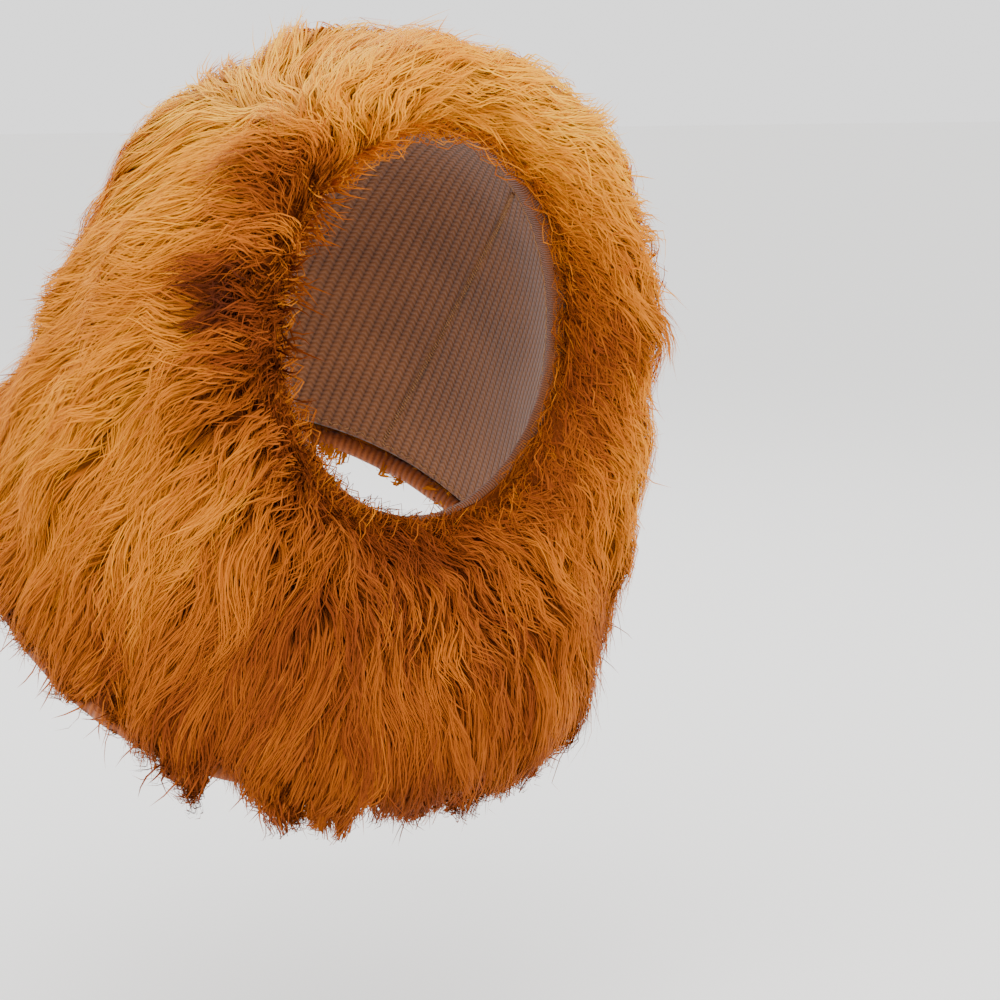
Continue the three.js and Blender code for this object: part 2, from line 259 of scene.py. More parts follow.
def treeOfNode(nodeName):
    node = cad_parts[nodeName]
    points = np.empty(len(node.data.vertices) * 3)
    node.data.vertices.foreach_get("co", points)
    return treeOf(points.reshape(-1, 3), trianglesOf(node.data))


def nearestOn(tree, points):
    found = [tree.find_nearest(Vector(point)) for point in points]
    places = np.array([hit[0] for hit in found])
    faces = np.array([hit[2] for hit in found])
    distances = np.array([hit[3] for hit in found])
    return places, faces, distances


def makeFurForm():
    copies = [copyOfNode(name, name + "_form") for name in furNodes]
    deselectAll()
    for piece in copies:
        piece.select_set(True)
    bpy.context.view_layer.objects.active = copies[0]
    bpy.ops.object.join()
    form = bpy.context.view_layer.objects.active
    applyModifier(form, "DISPLACE", strength=furForm["seamClosing"] * mm, mid_level=0)
    applyModifier(form, "REMESH", mode="VOXEL", voxel_size=furForm["voxel"] * mm)
    applyModifier(form, "SMOOTH", factor=0.5, iterations=furForm["smoothTurns"])
    points = coordinatesOf(form)
    triangles = trianglesOf(form.data)
    corners = points[triangles]
    areas = np.cross(corners[:, 1] - corners[:, 0], corners[:, 2] - corners[:, 0]) / 2
    middles = corners.mean(axis=1)
    onHood, _, depths = nearestOn(hoodTree, middles)
    outward = np.einsum("ij,ij->i", unit(middles - onHood), unit(areas))
    byEdge = nearestOn(bindingTree, middles)[2] < furForm["edgeDepth"] * mm
    ahead = (middles - faceMiddle) @ faceOut > furForm["edgeAhead"] * mm
    forwards = byEdge & ahead & (unit(areas) @ faceOut > -0.2)
    kept = ((outward > 0.1) & (depths > furForm["leastDepth"] * mm)) | forwards
    # vertex normals, evened out over the neighbours
    normals = np.zeros_like(points)
    for corner in range(3):
        np.add.at(normals, triangles[:, corner], areas)
    normals = unit(normals)
    for _ in range(furForm["normalTurns"]):
        spread = normals.copy()
        for first, second in ((0, 1), (1, 2), (2, 0)):
            np.add.at(spread, triangles[:, first], normals[triangles[:, second]])
            np.add.at(spread, triangles[:, second], normals[triangles[:, first]])
        normals = unit(spread)
    bpy.data.objects.remove(form)
    return {
        "points": points,
        "triangles": triangles[kept],
        "normals": unit(normals[triangles[kept]].sum(axis=1)),
        "areas": np.linalg.norm(areas[kept], axis=1),
        "tree": treeOf(points, triangles[kept]),
    }


faceLow, faceHigh = (np.array(corner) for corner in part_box("face_binding"))
faceMiddle = (faceLow + faceHigh) / 2
faceOut = unit(np.array([0.0, -1.0, -0.052]))  # the way the face opening looks
neckLow, neckHigh = (np.array(corner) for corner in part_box("neck_hem"))
neckMiddle = (neckLow + neckHigh) / 2
neckOut = unit(np.array([0.0, math.cos(math.radians(61)), -math.sin(math.radians(61))]))
spine = unit(neckMiddle - faceMiddle)          # through the hood from face to neck
hoodTree = treeOfNode("backing_hood")
bindingTree = treeOfNode("face_binding")
form = makeFurForm()
panelTrees = {name: treeOfNode(name) for name in furNodes}
print("fur form ready", len(form["triangles"]))


# how the fur is combed, as in the solids: pulls that add up, each felt in its own part

combing = {
    "fall": 1.0,
    "fallHigh": 0.15,   # share of the fall that is felt beside the crown
    "ruff": 1.5,        # away from the face, on the front
    "sweep": 2.6,       # over the crown, away from the parting
    "backwards": 0.9,   # beside the crown, and half of it lower down
    "parting": 74,      # mm from the middle, on the wearer's right
    "sweepFade": 180,   # mm behind the crown
    "around": 1.7,      # along the face edge, over the brow and down the wearer's left
    "tousle": 0.45,     # how far the lie wanders
    "tousleSize": 55,   # mm
}


def wander(points, size, seed):
    # smooth noise from -1 to 1, the same in every run
    total = np.zeros(len(points))
    for turn in range(4):
        angle = seed * 1.7 + turn * 2.4
        way = np.array([math.sin(angle), math.cos(angle * 1.3), math.sin(angle * 0.7 + 1)])
        along = points @ unit(way) * (2 * math.pi / (size * mm))
        total += np.sin(along * (0.7 + 0.35 * turn) + angle * 5)
    return total / 4


def combingWay(points, normals):
    front = np.clip(normals @ faceOut, 0, 1)[:, None]
    behind = np.clip(1 - points[:, 1] / (combing["sweepFade"] * mm), 0, 1)
    top = (np.clip(normals[:, 2], 0, 1) * behind)[:, None]
    fromFace = points - faceMiddle
    fromFace = unit(fromFace - np.outer(fromFace @ faceOut, faceOut))
    side = np.tanh((points[:, :1] + combing["parting"] * mm) / (combing["sweepFade"] * mm / 6))
    low = smoothStep(-70, -185, points[:, 2:] / mm)
    fall = combing["fall"] * (combing["fallHigh"] + (1 - combing["fallHigh"]) * low)
    # over the brow and down the wearer's left the fur lies along the face edge
    lying = smoothStep(-70, 0, points[:, :1] / mm) * smoothStep(-230, -110, points[:, 2:] / mm)
    around = fromFace[:, [2, 1, 0]] * np.array([1, 0, -1])
    way = down * fall + fromFace * combing["ruff"] * front * (1 - 0.55 * lying)
    way = way + around * combing["around"] * front * lying
    way = way + left * combing["sweep"] * top * side
    # from under the face edge the fur comes forwards, and over the brow it lies aside
    turnedIn = np.clip(-np.sum(normals * fromFace, axis=1, keepdims=True), 0, 1)
    turnedIn = turnedIn * (np.abs((points - faceMiddle) @ faceOut) < 70 * mm)[:, None]
    way = way + (faceOut * 2.2 + left * 1.4 * np.clip(fromFace[:, 2:], 0, 1)) * turnedIn
    way = way + back * combing["backwards"] * (1 - 0.5 * low) * (1 - front)
    way = unit(way - normals * np.sum(way * normals, axis=1, keepdims=True))
    across = np.cross(way, normals)
    turn = combing["tousle"] * wander(points, combing["tousleSize"], 3)
    return unit(way + across * turn[:, None])


# guide strands, which follow the combing over the form and hang free past its edges

guideRun = {
    "spacing": 9,        # mm between roots
    "steps": 18,
    "leaving": 3,        # mm off the form at which a strand hangs free
    "keeps": 0.35,       # of its way that a strand keeps from step to step
    "keepsFree": 0.75,   # and where it hangs free
    "hang": 0.35,        # how strongly it then hangs down
    "splay": 0.35,       # and outwards
}


def scatterRoots(count, seed):
    draw = np.random.default_rng(seed)
    share = form["areas"] / form["areas"].sum()
    chosen = draw.choice(len(share), size=count, p=share)
    first, second = draw.random((2, count))
    flip = first + second > 1
    first[flip], second[flip] = 1 - first[flip], 1 - second[flip]
    corners = form["points"][form["triangles"][chosen]]
    places = corners[:, 0] + first[:, None] * (corners[:, 1] - corners[:, 0])
    places += second[:, None] * (corners[:, 2] - corners[:, 0])
    return places, form["normals"][chosen]


def spacedRoots(spacing, seed):
    places, normals = scatterRoots(int(8 * form["areas"].sum() / (spacing * mm) ** 2), seed)
    cells = {}
    kept = []
    size = spacing * mm
    for index, place in enumerate(places):
        cell = tuple(np.floor(place / size).astype(int))
        near = [
            other
            for x in (-1, 0, 1) for y in (-1, 0, 1) for z in (-1, 0, 1)
            for other in cells.get((cell[0] + x, cell[1] + y, cell[2] + z), ())
        ]
        if near and np.min(np.linalg.norm(places[near] - place, axis=1)) < size:
            continue
        cells.setdefault(cell, []).append(index)
        kept.append(index)
    return places[kept], normals[kept]


def followFur(roots, normals, lengths, freeLengths):
    steps = guideRun["steps"]
    count = len(roots)
    paths = np.zeros((count, steps + 1, 3))
    stands = np.zeros((count, steps + 1, 3))
    paths[:, 0], stands[:, 0] = roots, normals
    place, stand = roots.copy(), normals.copy()
    stride = lengths / steps
    free = np.zeros(count, dtype=bool)
    freeRun = np.zeros(count)
    way = combingWay(place, stand)
    for step in range(steps):
        target = combingWay(place, stand)
        way = unit(way * guideRun["keeps"] + target * (1 - guideRun["keeps"]))
        way[free] = unit(way[free] * guideRun["keepsFree"] + down * guideRun["hang"])
        going = np.where(free & (freeRun >= freeLengths), 0.02, 1.0) * stride
        ahead = place + way * going[:, None]
        onForm, faces, distances = nearestOn(form["tree"], ahead)
        nowFree = free | (distances > guideRun["leaving"] * mm)
        place = np.where(nowFree[:, None], ahead, onForm)
        outwards = unit((place - faceMiddle) * np.array([1, 1, 0]))
        splayed = unit(stand + guideRun["splay"] * outwards)
        stand = np.where(nowFree[:, None], splayed, form["normals"][faces])
        freeRun += np.where(nowFree, going, 0)
        free = nowFree
        paths[:, step + 1], stands[:, step + 1] = place, stand
    return paths, stands


def sampleAlong(values, shares):
    # values (strands, steps + 1, 3) read at shares (strands, points) of the way
    steps = values.shape[1] - 1
    at = np.clip(shares, 0, 1) * steps
    below = np.clip(np.floor(at).astype(int), 0, steps - 1)
    part = (at - below)[..., None]
    rows = np.arange(len(values))[:, None]
    return values[rows, below] * (1 - part) + values[rows, below + 1] * part


# strands as flat ribbons that taper to a point, joined in one mesh

def ribbonsFrom(paths, stands, widths, rolls, tones):
    count, points = paths.shape[:2]
    tangents = unit(np.gradient(paths, axis=1))
    side = unit(np.cross(tangents, stands))
    lift = np.cross(side, tangents)
    turns = rolls[:, None, None]
    across = side * np.cos(turns) + lift * np.sin(turns)
    facing = lift * np.cos(turns) - side * np.sin(turns)
    # light falls on the fur as a whole more than on each flat fibre
    facing = unit(facing * (1 - strand["softness"]) + stands * strand["softness"])
    share = np.linspace(0, 1, points)
    taper = 0.5 + 0.5 * np.sin(np.pi * np.clip(share * 1.2, 0, 1))
    taper = taper * np.where(share > 0.8, 1 - (share - 0.8) * 2.5, 1)
    half = (widths[:, None] / 2 * taper)[..., None]
    rows = points - 1
    vertices = np.empty((count, rows * 2 + 1, 3))
    vertices[:, 0:-1:2] = (paths - across * half)[:, :-1]
    vertices[:, 1:-1:2] = (paths + across * half)[:, :-1]
    vertices[:, -1] = paths[:, -1]
    normals = np.empty_like(vertices)
    normals[:, 0:-1:2] = facing[:, :-1]
    normals[:, 1:-1:2] = facing[:, :-1]
    normals[:, -1] = facing[:, -1]
    tones = np.clip(tones, 0.01, 0.99)[:, None]
    maps = np.empty((count, rows * 2 + 1, 2))
    maps[:, 0:-1:2, 0] = tones - strand["toneWidth"]
    maps[:, 1:-1:2, 0] = tones + strand["toneWidth"]
    maps[:, -1, 0] = tones[:, 0]
    maps[:, 0:-1:2, 1] = share[:-1] * 0.98 + 0.01
    maps[:, 1:-1:2, 1] = share[:-1] * 0.98 + 0.01
    maps[:, -1, 1] = 0.99
    base = np.arange(rows - 1) * 2
    quads = np.stack([base, base + 1, base + 3, base + 2], axis=1)
    tip = np.array([2 * rows - 2, 2 * rows - 1, 2 * rows])
    first = (np.arange(count) * (rows * 2 + 1))[:, None, None]
    return {
        "points": vertices.reshape(-1, 3),
        "quads": (quads[None] + first).reshape(-1, 4),
        "triangles": (tip[None, None] + first).reshape(-1, 3),
        "maps": maps.reshape(-1, 2),
        "normals": normals.reshape(-1, 3),
    }


strand = {
    "softness": 0.84,    # share of the shading that follows the fur's form
    "toneWidth": 0.004,  # of the map, across a strand
}


def pieceFromParts(name, parts):
    counts = np.cumsum([0] + [len(part["points"]) for part in parts])
    points = np.concatenate([part["points"] for part in parts])
    farthest = furLie["farthest"] * mm
    points = np.clip(points, np.array(cadBox[0]) - farthest, np.array(cadBox[1]) + farthest)
    normals = np.concatenate([part["normals"] for part in parts])
    maps = np.concatenate([part["maps"] for part in parts])
    quads = np.concatenate([part["quads"] + start for part, start in zip(parts, counts)])
    triangles = np.concatenate([part["triangles"] + start for part, start in zip(parts, counts)])
    corners = np.concatenate([quads.ravel(), triangles.ravel()]).astype(np.int32)
    ofQuads = np.arange(len(quads)) * 4
    ofTriangles = len(quads) * 4 + np.arange(len(triangles)) * 3
    starts = np.concatenate([ofQuads, ofTriangles])
    mesh = bpy.data.meshes.new(name)
    mesh.vertices.add(len(points))
    mesh.vertices.foreach_set("co", points.ravel())
    mesh.loops.add(len(corners))
    mesh.loops.foreach_set("vertex_index", corners)
    mesh.polygons.add(len(starts))
    mesh.polygons.foreach_set("loop_start", starts.astype(np.int32))
    mesh.update(calc_edges=True)
    mesh.polygons.foreach_set("use_smooth", np.ones(len(starts), dtype=bool))
    layer = mesh.uv_layers.new(name="OFBake")
    layer.uv.foreach_set("vector", maps[corners].astype(np.float32).ravel())
    mesh.normals_split_custom_set_from_vertices(normals.tolist())
    piece = bpy.data.objects.new(name, mesh)
    bpy.context.scene.collection.objects.link(piece)
    return piece


# what lies under the long fur: the panel itself, drawn in towards the hood

underfur = {
    "height": 0.72,      # share of the pile's depth
    # dark like the roots: partly the fibre's own tone, partly painted shade deep in the pile
    "tone": (0.2, 0.34),
}


def makeUnderfur(nodeName):
    piece = copyOfNode(nodeName, nodeName + "_underfur")
    points = coordinatesOf(piece)
    onHood = nearestOn(hoodTree, points)[0]
    setCoordinates(piece, onHood + (points - onHood) * underfur["height"])
    applyModifier(piece, "SMOOTH", factor=0.4, iterations=3)
    points = coordinatesOf(piece)
    triangles = trianglesOf(piece.data)
    corners = points[triangles]
    areas = np.cross(corners[:, 1] - corners[:, 0], corners[:, 2] - corners[:, 0])
    normals = np.zeros_like(points)
    for corner in range(3):
        np.add.at(normals, triangles[:, corner], areas)
    share = (points - points.min(axis=0)) / np.ptp(points, axis=0)
    darkest, lightest = underfur["tone"]
    maps = np.stack([darkest + (lightest - darkest) * (share[:, 0] + share[:, 1]) / 2,
                     0.02 + 0.1 * share[:, 2]], axis=1)
    bpy.data.objects.remove(piece)
    return {
        "points": points,
        "quads": np.empty((0, 4), dtype=int),
        "triangles": triangles,
        "maps": maps,
        "normals": unit(normals),
    }


# the six panels of long fur: a table of how each one's fur differs

fur = {
    "face_ruff": {"strands": 9300, "length": 52, "wave": 3.0, "waveLength": 34, "tone": 0.41},
    "crown_fur": {"strands": 15200, "length": 96, "wave": 1.8, "waveLength": 80, "tone": 0.458},
    "nape_fur": {"strands": 11200, "length": 90, "wave": 2.6, "waveLength": 80, "tone": 0.53},
    "left_side_fur": {"strands": 13000, "length": 84, "wave": 3.6, "waveLength": 60, "tone": 0.445},
    "right_side_fur": {"strands": 16800, "length": 88, "wave": 3.8, "waveLength": 60, "tone": 0.425},
    "chest_fur": {"strands": 13800, "length": 86, "wave": 2.8, "waveLength": 62, "tone": 0.36},
}
furLie = {
    "segments": 5,
    "reach": (0.66, 0.16),  # of its guide that a strand follows, and how much that varies
    "rootDepth": 12,      # mm under the form
    "rise": 3,            # mm, how far a lock's upper strands lie over it
    "tipLift": 11,        # mm, how far a few locks lift their tips
    "layers": 7,          # mm from its uppermost strand to its deepest
    "lockRadius": 9,
    "tuftRadius": 4.4,
    "tufts": 4,           # in each lock
    "flyaways": 0.07,
    # mm, of the uppermost and the deepest strands: several times a real fibre, to fill the pile
    "width": (0.42, 1.15),
    "overHood": 2.5,      # mm, no strand lies nearer to the hood
    "farthest": 15,       # mm that a flyaway may reach past the solids on any side
}
# hollows where the fur lies lower and painted shade darkens its tone: x, y, z, radius in mm and how
# dark
furHollows = [
    {"x": -99, "y": -90, "z": -22, "radius": 26, "dark": 0.4},
    {"x": -82, "y": -100, "z": -15, "radius": 22, "dark": 0.22},
    {"x": -125, "y": -87, "z": -74, "radius": 18, "dark": 0.6},
    {"x": -116, "y": -92, "z": -52, "radius": 20, "dark": 0.12},
    {"x": -114, "y": -101, "z": -92, "radius": 24, "dark": 0.15},
    {"x": -88, "y": -88, "z": -165, "radius": 34, "dark": 0.1},
    {"x": -132, "y": -79, "z": -135, "radius": 26, "dark": 0.14},
    {"x": -109, "y": -95, "z": -118, "radius": 28, "dark": 0.12},
    {"x": -29, "y": -94, "z": -207, "radius": 28, "dark": 0.1},
    {"x": 83, "y": -73, "z": -103, "radius": 40, "dark": 0.08},
    {"x": 73, "y": -77, "z": -152, "radius": 34, "dark": 0.06},
]
hollowSink = 16  # mm that the fur lies lower for each unit of dark
# places where the long fur stands fuller or lies flatter than the form: x, y, z, radius and mm
furFullness = [
    {"x": -95, "y": 52, "z": -2, "radius": 42, "fuller": 13},
    {"x": -120, "y": 100, "z": -88, "radius": 52, "fuller": -15},
    {"x": -60, "y": 10, "z": 25, "radius": 34, "fuller": 6},
    {"x": 130, "y": -43, "z": -238, "radius": 56, "fuller": -13},
    {"x": 128, "y": -30, "z": -180, "radius": 46, "fuller": -7},
]


def coverOf(points, normals):
    # how much fur lies over a place from beside it: little at the face edge and the parting
    fromEdge = nearestOn(bindingTree, points)[2] / mm
    top = smoothStep(0.2, 0.6, normals[:, 2]) * smoothStep(170, 90, points[:, 1] / mm)
    parting = top * np.exp(-((points[:, 0] / mm + combing["parting"]) / 26) ** 2)
    return smoothStep(5, 46, fromEdge) * (1 - 0.85 * parting)


# how deep a place lies in the hollows: it sinks the fur and darkens its tone as painted shade
def hollowAt(places):
    depth = np.zeros(places.shape[:-1])
    for hollow in furHollows:
        centre = np.array([hollow["x"], hollow["y"], hollow["z"]]) * mm
        away = np.linalg.norm(places - centre, axis=-1) / (hollow["radius"] * mm)
        depth += hollow["dark"] * np.exp(-away ** 2)
    return depth


def fullnessAt(places):
    height = np.zeros(places.shape[:-1])
    for place in furFullness:
        centre = np.array([place["x"], place["y"], place["z"]]) * mm
        away = np.linalg.norm(places - centre, axis=-1) / (place["radius"] * mm)
        height += place["fuller"] * np.exp(-away ** 2)
    return height


furTones = {
    "lock": 0.05,         # how far locks differ
    "strand": 0.02,       # and strands within a lock
    "deepest": 0.06,      # painted shade: how much darker the deepest strands are
    "clouds": 0.07,
    "cloudSize": 90,      # mm
    "outwards": 0.36,     # lighter from the face to the outline
    "outwardsHigh": 0.2,  # less of that over the crown
    "outwardsLow": 0.34,  # and under the chest
    "reach": (86, 165),   # mm from the middle of the face
    "middle": 0.52,       # of that reach, where the tone is the panel's own
    "high": 0.42,         # painted light from above: lighter over the crown
    "low": 0.11,          # painted shade: darker under the chest
    "toLeft": 0.1,        # lighter on the wearer's left
}


def strandTones(panel, places, layer, lockDraw, strandDraw):
    tone = fur[panel]["tone"] + furTones["lock"] * lockDraw + furTones["strand"] * strandDraw
    # painted shade on the strands that lie deep in the pile
    tone = tone - furTones["deepest"] * layer
    tone += furTones["clouds"] * wander(places, furTones["cloudSize"], 9)
    # darker beside the face and lighter towards the outline, with painted light over the crown and
    # painted shade under the chest
    fromFace = places - faceMiddle
    aside = fromFace - np.outer(fromFace @ faceOut, faceOut)
    reach = np.linalg.norm(aside * np.array([1.25, 1, 1]), axis=1) / mm
    high = smoothStep(-90, 20, places[:, 2] / mm)
    low = smoothStep(-150, -250, places[:, 2] / mm)
    outwards = furTones["outwards"] - furTones["outwardsHigh"] * high
    outwards = outwards - furTones["outwardsLow"] * low
    tone += outwards * (smoothStep(*furTones["reach"], reach) - furTones["middle"])
    # painted light from above over the crown, painted shade under the chest
    tone += furTones["high"] * high - furTones["low"] * low
    tone += furTones["toLeft"] * smoothStep(0, 90, places[:, 0] / mm)
    # painted shade in the hollows
    return tone - hollowAt(places)


def growFur(panel, paths, stands, cover, hoodRoom, seed):
    settings = fur[panel]
    draw = np.random.default_rng(seed)
    guides = len(paths)
    weight = 1 + 0.9 * (1 - cover)
    owner = np.sort(draw.choice(guides, settings["strands"], p=weight / weight.sum()))
    count = len(owner)
    share = np.linspace(0, 1, furLie["segments"] + 1)[None, :]
    covered = cover[owner][:, None]
    lengthShare = np.clip(draw.normal(*furLie["reach"], count), 0.3, 1.0)[:, None]
    lengthShare = lengthShare * np.where(draw.random(count)[:, None] > covered, 0.7, 1)
    middle = sampleAlong(paths[owner], share * lengthShare)
    stand = unit(sampleAlong(stands[owner], share * lengthShare))
    room = sampleAlong(hoodRoom[owner][..., None], share * lengthShare)[..., 0]
    tangent = unit(np.gradient(middle, axis=1))
    side = unit(np.cross(tangent, stand))

    # a lock holds a few tufts, which draw together towards their tips
    size = (guides, furLie["tufts"])
    tuft = draw.integers(0, furLie["tufts"], count)
    tuftTurn = draw.uniform(0, 2 * math.pi, size)[owner, tuft]
    tuftOut = furLie["lockRadius"] * np.sqrt(draw.random(size))[owner, tuft]
    ownTurn = draw.uniform(0, 2 * math.pi, count)
    ownOut = furLie["tuftRadius"] * np.sqrt(draw.random(count))
    loose = draw.random(count) < furLie["flyaways"]
    hold = draw.uniform(0.35, 0.85, size)[owner, tuft]
    hold = np.where(loose, 0.1, hold)[:, None]
    lockHold = 0.3 * share ** 1.3
    tuftHold = hold * share ** 0.8
    sideways = (tuftOut * np.cos(tuftTurn))[:, None] * (1 - lockHold)
    sideways = sideways + (ownOut * np.cos(ownTurn))[:, None] * (1 - tuftHold)
    endways = (tuftOut * np.sin(tuftTurn))[:, None] * (1 - lockHold)
    endways = endways + (ownOut * np.sin(ownTurn))[:, None] * (1 - tuftHold)

    # waves are shared by a lock, and each tuft and strand strays a little
    phase = draw.uniform(0, 1, guides)[owner] + draw.normal(0, 0.12, size)[owner, tuft]
    phase = phase + draw.normal(0, 0.04, count)
    strength = draw.uniform(0.4, 1.4, guides)[owner] * draw.uniform(0.8, 1.2, count)
    waveLength = settings["waveLength"] * draw.uniform(0.75, 1.3, guides)[owner]
    run = share * lengthShare * settings["length"]
    turn = 2 * math.pi * (run / waveLength[:, None] + phase[:, None])
    grown = smoothStep(0, 0.4, share)
    wave = settings["wave"] * strength[:, None] * grown
    stray = draw.normal(0, 1, (2, count))
    drift = np.where(loose, 6.0, 1.8)[:, None] * share ** 2
    sideways = sideways + wave * np.sin(turn) + stray[0][:, None] * drift

    # a strand rises from its root to its own layer, and some locks lift their tips
    layer = draw.random(count) ** 0.8
    top = (furLie["rise"] - layer * furLie["layers"])[:, None]
    rootDepth = 2 + (furLie["rootDepth"] - 2) * covered
    risen = smoothStep(0, 0.2 + 0.22 * covered, share)
    tipLift = furLie["tipLift"] * (draw.random(guides) ** 4)[owner][:, None] * share ** 2
    height = -rootDepth + (rootDepth + top) * risen + tipLift
    height = height + 0.4 * wave * np.cos(turn)
    height = height + np.abs(stray[1])[:, None] * drift * np.where(loose, 0.8, 0.4)[:, None]
    height = height - hollowSink * hollowAt(middle) + fullnessAt(middle)
    height = np.maximum(height, furLie["overHood"] - room / mm)

    strands = middle + (side * sideways[..., None] + tangent * endways[..., None]) * mm
    strands += stand * height[..., None] * mm
    lockDraw = draw.normal(0, 1, guides)[owner]
    tones = strandTones(panel, strands[:, 2], layer, lockDraw, draw.normal(0, 1, count))
    fine, coarse = furLie["width"]
    widths = (fine + (coarse - fine) * layer) * mm * draw.uniform(0.7, 1.3, count)
    rolls = draw.uniform(-0.5, 0.5, count)
    return ribbonsFrom(strands, stand, widths, rolls, tones)


# short curls that spring from under the face edge and fold outwards over it

faceCurls = {
    "strands": 4200,
    "segments": 8,
    "length": (20, 46),
    "curl": 2.2,          # mm
    "curlLength": 19,     # mm
    "width": 0.5,
    "edgeGap": 9,         # mm outside the binding
    "tone": 0.32,
    "toneTop": 0.15,      # more at the brow
    "toneSpread": 0.09,
}


def growFaceCurls(seed):
    draw = np.random.default_rng(seed)
    count, points = faceCurls["strands"], faceCurls["segments"] + 1
    turn = draw.uniform(0, 2 * math.pi, count)
    halfSize = (faceHigh - faceLow) / 2
    outward = np.stack([np.sin(turn), np.zeros(count), np.cos(turn)], axis=1)
    edge = outward * np.array([halfSize[0], 0, halfSize[2]])
    gaps = draw.uniform(0, faceCurls["edgeGap"], count) * mm
    outer = faceMiddle + edge + unit(edge) * gaps[:, None]
    onForm = nearestOn(form["tree"], outer)[0]
    roots = onForm * 0.8 + outer * 0.2
    stand = unit(unit(edge) * 0.35 + faceOut)
    aside = np.cross(faceOut, unit(edge))
    over = combingWay(roots, stand)
    folded = over * 1.2 + unit(edge) * 0.5 - stand * 0.12 + down * 0.2
    low, high = faceCurls["length"]
    lengths = draw.uniform(low, high, count) * mm
    start = faceOut * 0.55 + unit(edge) * draw.uniform(-1.3, 0.5, count)[:, None]
    start = unit(start + aside * draw.normal(0, 0.5, count)[:, None] + over * 0.4)
    paths = np.zeros((count, points, 3))
    paths[:, 0] = roots
    for step in range(1, points):
        share = step / (points - 1)
        bend = smoothStep(0.05, 1, share)
        way = unit(start * (1 - bend) + folded * bend)
        paths[:, step] = paths[:, step - 1] + way * (lengths / (points - 1))[:, None]
    tangent = unit(np.gradient(paths, axis=1))
    stands = np.repeat(stand[:, None], points, axis=1)
    side = unit(np.cross(tangent, stands))
    lift = np.cross(side, tangent)
    share = np.linspace(0, 1, points)[None, :]
    curlLength = faceCurls["curlLength"] * mm * draw.uniform(0.7, 1.8, count)[:, None]
    angle = 2 * math.pi * (share * lengths[:, None] / curlLength + draw.random(count)[:, None])
    size = faceCurls["curl"] * mm * draw.uniform(0.3, 1.4, count)[:, None]
    size = size * smoothStep(0, 0.4, share)
    curled = side * (size * np.sin(angle))[..., None]
    paths = paths + curled + lift * (size * np.cos(angle))[..., None]
    high = smoothStep(-0.2, 0.9, np.cos(turn))
    tones = faceCurls["tone"] + faceCurls["toneTop"] * high
    tones = tones + draw.normal(0, faceCurls["toneSpread"], count)
    widths = faceCurls["width"] * mm * draw.uniform(0.6, 1.4, count)
    return ribbonsFrom(paths, stands, widths, draw.uniform(-0.5, 0.5, count), tones)


# short undercoat on the underfur, thick where little long fur lies over it

undercoat = {
    "density": 19,       # strands for each square centimetre that lies open
    "everywhere": 0.1,   # share of that under the long fur
    "edgeDepth": 48,     # mm from the binding, where it also grows on the inner side
    "segments": 4,
    "length": (13, 30),
    "width": 0.85,
    "lift": (2, 8),      # mm that the tips stand off
    "overHood": 3,       # mm, no strand lies nearer to the hood
}


def awayFromSpine(points):
    along = np.clip((points - faceMiddle) @ spine, 0, np.linalg.norm(neckMiddle - faceMiddle))
    return unit(points - faceMiddle - np.outer(along, spine))


def growUndercoat(panel, under, seed):
    draw = np.random.default_rng(seed)
    corners = under["points"][under["triangles"]]
    areas = np.cross(corners[:, 1] - corners[:, 0], corners[:, 2] - corners[:, 0]) / 2
    facing, middles = unit(areas), corners.mean(axis=1)
    bare = np.sum(awayFromSpine(middles) * facing, axis=1) > -0.1
    byEdge = nearestOn(bindingTree, middles)[2] < undercoat["edgeDepth"] * mm
    ahead = (middles - faceMiddle) @ faceOut > 3 * mm
    bare |= byEdge & ahead & (facing @ faceOut > -0.4)
    weight = np.linalg.norm(areas, axis=1) * bare
    weight *= np.clip(1 - coverOf(middles, facing), 0, 1) + undercoat["everywhere"]
    count, points = int(undercoat["density"] * 1e4 * weight.sum()), undercoat["segments"] + 1
    chosen = draw.choice(len(weight), size=count, p=weight / weight.sum())
    first, second = np.sort(draw.random((2, count)), axis=0)[..., None]
    roots = corners[chosen, 0] * first + corners[chosen, 1] * (second - first)
    roots += corners[chosen, 2] * (1 - second)
    stand = unit(under["normals"][under["triangles"][chosen]].sum(axis=1) + facing[chosen])
    over = combingWay(roots, stand)
    across = np.cross(over, stand)
    way = unit(over + across * draw.normal(0, 0.5, count)[:, None])
    low, high = undercoat["length"]
    lengths = draw.uniform(low, high, count) * mm
    share = np.linspace(0, 1, points)[None, :, None]
    rise = -1 + (1 + draw.uniform(*undercoat["lift"], count))[:, None, None] * share
    bow = draw.normal(0, 3, count)[:, None, None] * np.sin(math.pi * share)
    paths = roots[:, None] + way[:, None] * lengths[:, None, None] * share
    paths = paths + (stand[:, None] * rise + across[:, None] * bow) * mm
    # no strand goes into the hood that it grows on
    outward = awayFromSpine(roots)[:, None]
    onHood = nearestOn(hoodTree, paths.reshape(-1, 3))[0].reshape(paths.shape)
    room = np.sum((paths - onHood) * outward, axis=2, keepdims=True)
    behind = ((paths - faceMiddle) @ faceOut < 3 * mm)[..., None]
    paths = paths + outward * np.maximum(undercoat["overHood"] * mm - room, 0) * behind
    layer = draw.uniform(0.6, 1.4, count)
    lockDraw = draw.normal(0, 0.6, count)
    strandDraw = draw.normal(0, 1, count)
    tones = strandTones(panel, roots, layer, lockDraw, strandDraw)
    widths = undercoat["width"] * mm * draw.uniform(0.6, 1.3, count)
    stands = np.repeat(stand[:, None], points, axis=1)
    return ribbonsFrom(paths, stands, widths, draw.uniform(-0.4, 0.4, count), tones)


